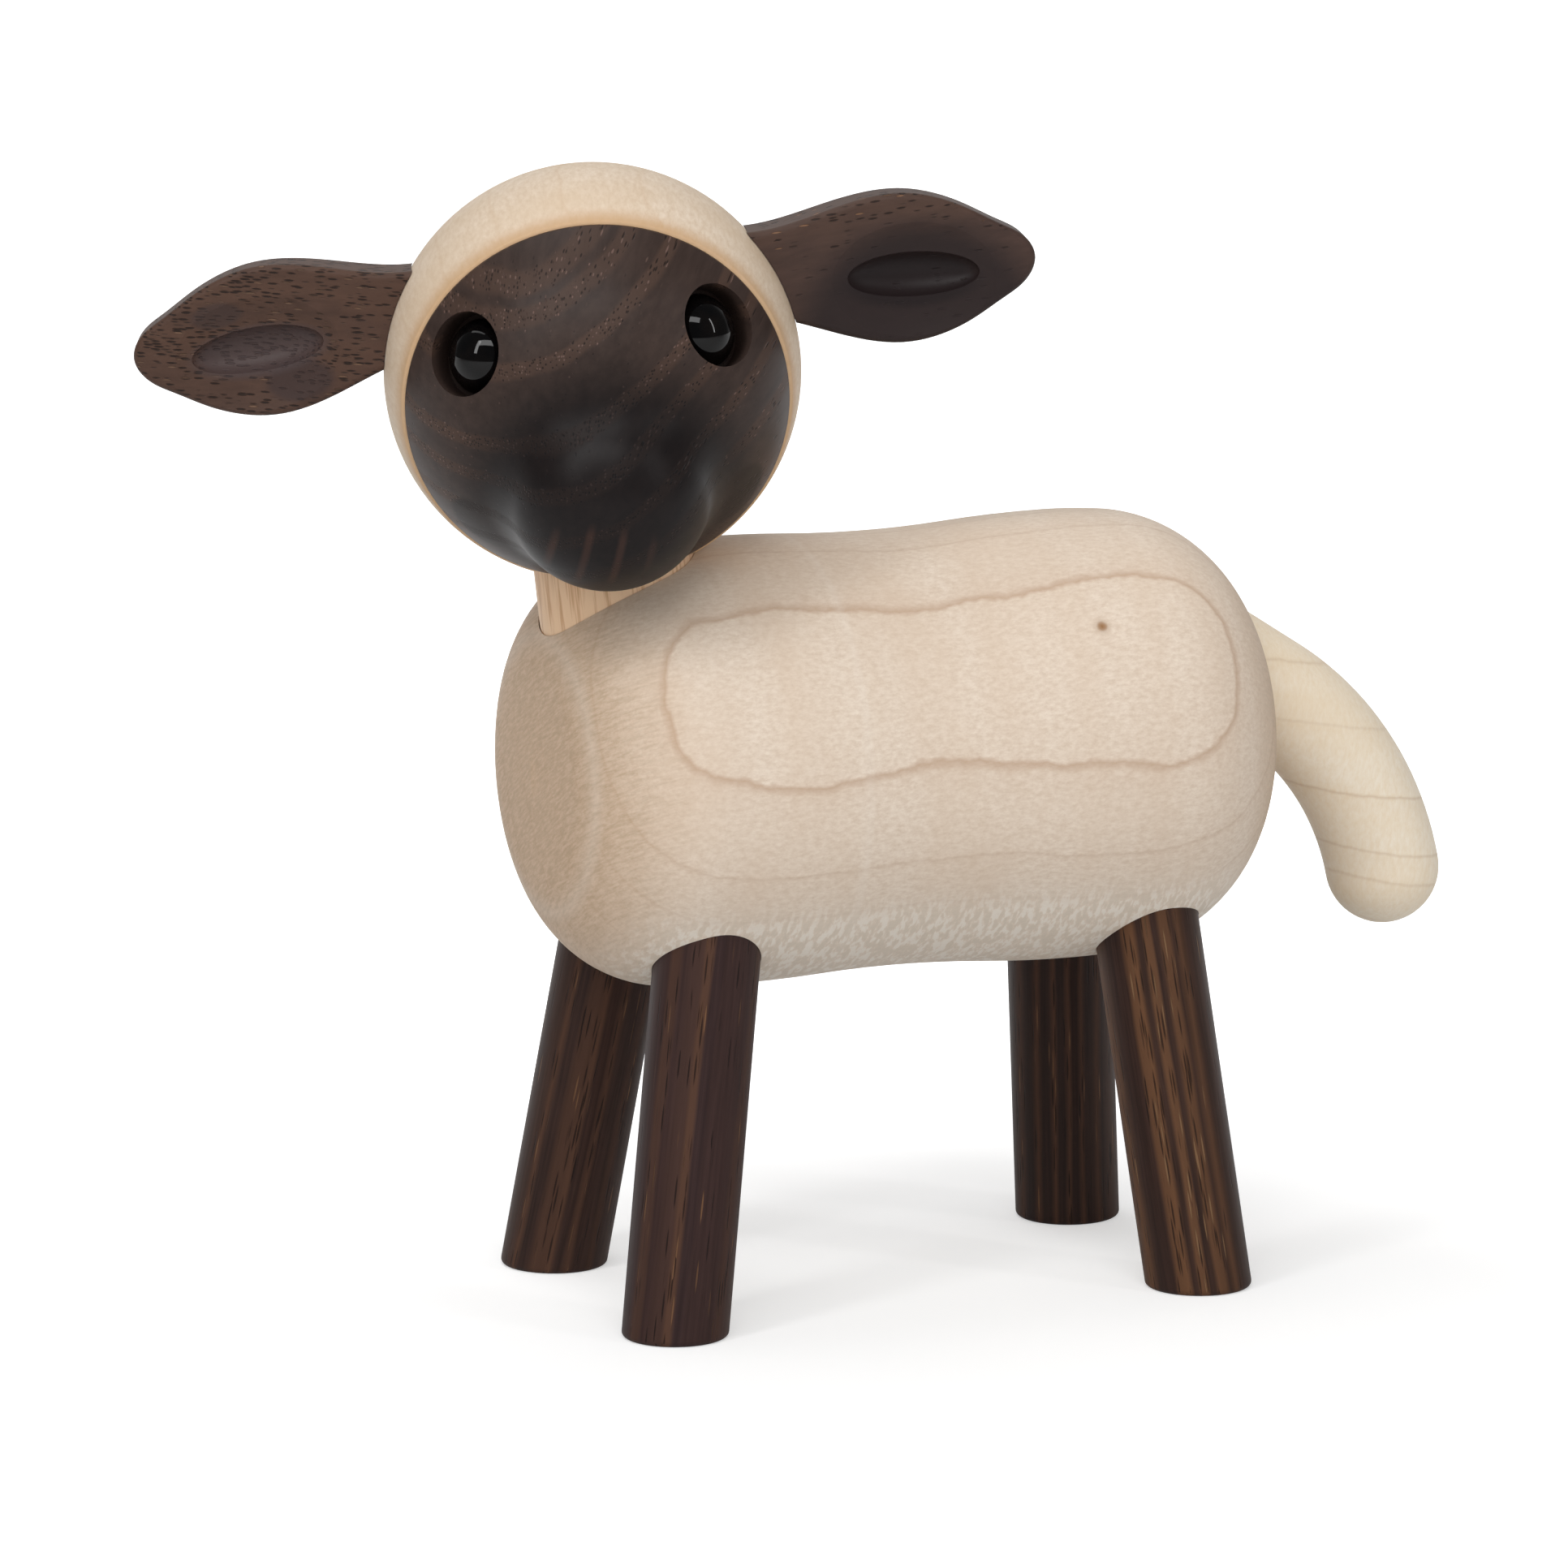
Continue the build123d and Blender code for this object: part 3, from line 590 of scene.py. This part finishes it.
# real stains and painted shade, as ovals through the leaf, the hollow's last: middle and reach in
# millimetres. The left ear's dark dish and its hollow are painted shade; the right ear's two patches are
# its own tone, and its hollow is painted shade lifted by a painted sheen.
through = 1000
ears = {
    "left_ear": {
        "side": 1, "slant": 6.0,
        "brown": "5E4639", "middle": "4A3832", "dark": "3F302B", "pit": "241915", "tan": "7A5A44",
        "bands": [(-2.0, 0.1), (7.0, 0.1), (9.0, 0.5), (10.5, 0.35), (11.5, 0.1)],
        "stainAndShades": [
            # painted shade over the dish, then painted shade in the hollow
            {"middle": (24.5, 2.5, 0), "reach": (8.8, 7.5, through), "tone": "281F1F", "depth": 0.92},
            {"middle": (24.0, 5.7, 0), "reach": (4.9, 1.9, through), "tone": "1F1819", "depth": 0.75},
        ],
    },
    "right_ear": {
        "side": -1, "slant": -14.0,
        "brown": "584034", "middle": "4C3830", "dark": "362722", "pit": "1F1511", "tan": "6E5443",
        "bands": [
            (-2.0, 0.6), (1.0, 1.0), (3.0, 0.5), (4.5, 1.0), (7.0, 0.7), (8.2, 1.0), (9.6, 0.7),
            (10.6, 0.3), (12.0, 1.0),
        ],
        "stainAndShades": [
            {"middle": (-26.6, 9.3, 0), "reach": (1.9, 1.0, through), "tone": "40322F", "depth": 0.7},
            {"middle": (-21.4, 3.5, 0), "reach": (2.5, 1.5, through), "tone": "3D2F2D", "depth": 0.8},
            # painted shade with a painted sheen in the hollow
            {"middle": (-24.0, 6.1, 0), "reach": (4.9, 1.9, through), "tone": "4D4141", "depth": 0.8},
        ],
    },
}
for name, ear in ears.items():
    place = headPlace @ turned(earLook["droop"] * ear["side"], "Y") @ turned(90, "X")
    material, tree, shader, colour = smokedOak(
        name.replace("_", " ") + " smoked oak", place @ turned(ear["slant"], "Z"), dict(earLook, **ear),
    )
    spot = pieceMillimetres(tree, place)
    for stainAndShade in ear["stainAndShades"]:
        # each oval mixes in its tone: some are real stains, the rest are painted shade and sheen
        oval = addNode(
            tree, "ShaderNodeMapping", texture, Vector=spot, Location=stainAndShade["middle"], Scale=stainAndShade["reach"],
        )
        away = addNode(tree, "ShaderNodeVectorMath", length, i0=oval.outputs[0])
        depth = addNode(
            tree, "ShaderNodeMapRange", softly, Value=away.outputs["Value"],
            From_Min=earLook["stainAndShadeEdge"], From_Max=earLook["stainAndShadeFull"], To_Max=stainAndShade["depth"],
        )
        colour = addNode(
            tree, "ShaderNodeMix", inColour, i0=depth.outputs[0], i6=colour, i7=linear(stainAndShade["tone"]),
        ).outputs[2]
    rough = addNode(
        tree, "ShaderNodeMapRange", Value=depth.outputs[0],
        To_Min=earLook["plain"], To_Max=earLook["hollow"],
    )
    tree.links.new(colour, shader.inputs["Base Color"])
    tree.links.new(rough.outputs[0], shader.inputs["Roughness"])
    dress(name, material)
print("ears dressed")

# Face: the same oak, turned from a blank whose pith lay outside it, so its rings cross it as wide arcs.
# Each ring is a radius from the pith and how open its pores are.
face = {
    "grainPitch": 115.0, "grainSide": -19.0,
    "rings": [(22.9, 0.75), (24.4, 0.7), (27.2, 0.85), (31.9, 0.9), (34.6, 0.8), (38.0, 0.75), (41.3, 0.6)],
    "muzzle": (0, -4.05, 12.04), "muzzleReach": (12.6, 7.8), "muzzleDark": "07080C", "muzzleDepth": 0.8,
    "rays": (-1.5, -6.4, 18.0), "raysReach": (4.8, 3.0, 5.0), "raysEdge": 1.05, "raysFull": 0.7,
    "raysApart": 2.5, "raysSlant": 0.28, "raysShift": 0.6, "raysWide": (0.42, 0.12),
    "raysTone": "4A332B", "raysDepth": 0.5,
    # painted shade in the eye recesses: where they lie, how far the shade reaches, and its tone
    "recess": (8.1, 5.9, 8.4), "recessShadeReach": (3.65, 3.2), "recessShadeTone": "231A17",
}
ringEdges = [(-0.62, 0.05), (-0.42, 1.0), (0.34, 0.9), (0.6, 0.05)]
faceLook = dict(
    oak, pith=(-8.7, 35.3, 0), drift=(5.0, 5.0, 20.0), sway=0.9, span=(18.0, 48.0),
    pore=(0.1923, 0.1923, 2.0), streak=(0.9091, 0.9091, 6.667),
    bands=[(18.0, 0.08)] + [
        (middle + offset, grey * strong) for middle, strong in face["rings"] for offset, grey in ringEdges
    ] + [(44.4, 0.1), (45.2, 0.6)],
    dark="352A26", middle="41342F", brown="523E34", tan="68524A", pit="130D0B",
    bump=0.3, smooth=0.41, dry=0.5, shine=0.18, dusty=0.66, warmth=0.75,
)
grainPlace = headPlace @ turned(face["grainPitch"], "X") @ turned(face["grainSide"], "Y")
material, tree, shader, colour = smokedOak("smoked oak face", grainPlace, faceLook)
spot = pieceMillimetres(tree, facePlace)

# the muzzle is rubbed darker than the brow
reach = addNode(tree, "ShaderNodeVectorMath", distance, i0=spot, i1=face["muzzle"])
start, full = face["muzzleReach"]
rubbed = addNode(
    tree, "ShaderNodeMapRange", softly,
    Value=reach.outputs["Value"], From_Min=start, From_Max=full, To_Max=face["muzzleDepth"],
)
colour = addNode(
    tree, "ShaderNodeMix", inColour, i0=rubbed.outputs[0], i6=colour, i7=linear(face["muzzleDark"]),
)

# a few short reddish rays run up the bottom of the muzzle
low = addNode(
    tree, "ShaderNodeMapping", texture, Vector=spot, Location=face["rays"], Scale=face["raysReach"],
)
low = addNode(tree, "ShaderNodeVectorMath", length, i0=low.outputs[0])
low = addNode(
    tree, "ShaderNodeMapRange", Value=low.outputs["Value"],
    From_Min=face["raysEdge"], From_Max=face["raysFull"], To_Max=face["raysDepth"],
)
slanted = addNode(tree, "ShaderNodeVectorMath", along, i0=spot, i1=(1, -face["raysSlant"], 0))
slanted = addNode(
    tree, "ShaderNodeMath", plus, i0=slanted.outputs["Value"], i1=face["raysShift"],
)
slanted = addNode(
    tree, "ShaderNodeMath", {"operation": "PINGPONG"}, i0=slanted.outputs[0], i1=face["raysApart"] / 2,
)
start, full = face["raysWide"]
slanted = addNode(tree, "ShaderNodeMapRange", Value=slanted.outputs[0], From_Min=start, From_Max=full)
low = addNode(tree, "ShaderNodeMath", multiply, i0=low.outputs[0], i1=slanted.outputs[0])
colour = addNode(
    tree, "ShaderNodeMix", inColour, i0=low.outputs[0], i6=colour.outputs[2], i7=linear(face["raysTone"]),
)

# painted shade: the two eye recesses are darker inside
eitherSide = addNode(tree, "ShaderNodeVectorMath", {"operation": "ABSOLUTE"}, i0=spot)
reach = addNode(tree, "ShaderNodeVectorMath", distance, i0=eitherSide.outputs[0], i1=face["recess"])
start, full = face["recessShadeReach"]
recessShadeMask = addNode(
    tree, "ShaderNodeMapRange", softly, Value=reach.outputs["Value"], From_Min=start, From_Max=full,
)
colour = addNode(
    tree, "ShaderNodeMix", inColour,
    i0=recessShadeMask.outputs[0], i6=colour.outputs[2], i7=linear(face["recessShadeTone"]),
)
tree.links.new(colour.outputs[2], shader.inputs["Base Color"])
dress("face", material)

# Eyes: cast black beads, glossy, a little brown where light gets under the skin
eyes = {"tones": [(0.35, "040405"), (0.7, "0D0A09")], "cloud": 1.6667, "roughness": 0.05, "shine": 0.3}
for name in ("left_eye", "right_eye"):
    material, tree, shader = newMaterial(name.replace("_", " ") + " cast bead")
    spot = pieceMillimetres(tree, headPlace)
    cloud = addNode(
        tree, "ShaderNodeTexNoise", Vector=spot, Scale=1 / eyes["cloud"], Detail=2.0, Roughness=0.5,
    )
    colour = addNode(tree, "ShaderNodeValToRGB", {"stops": eyes["tones"]}, Fac=cloud.outputs[0])
    tree.links.new(colour.outputs[0], shader.inputs["Base Color"])
    shader.inputs["Roughness"].default_value = eyes["roughness"]
    shader.inputs["Specular IOR Level"].default_value = eyes["shine"]
    dress(name, material)
print("face and eyes dressed")
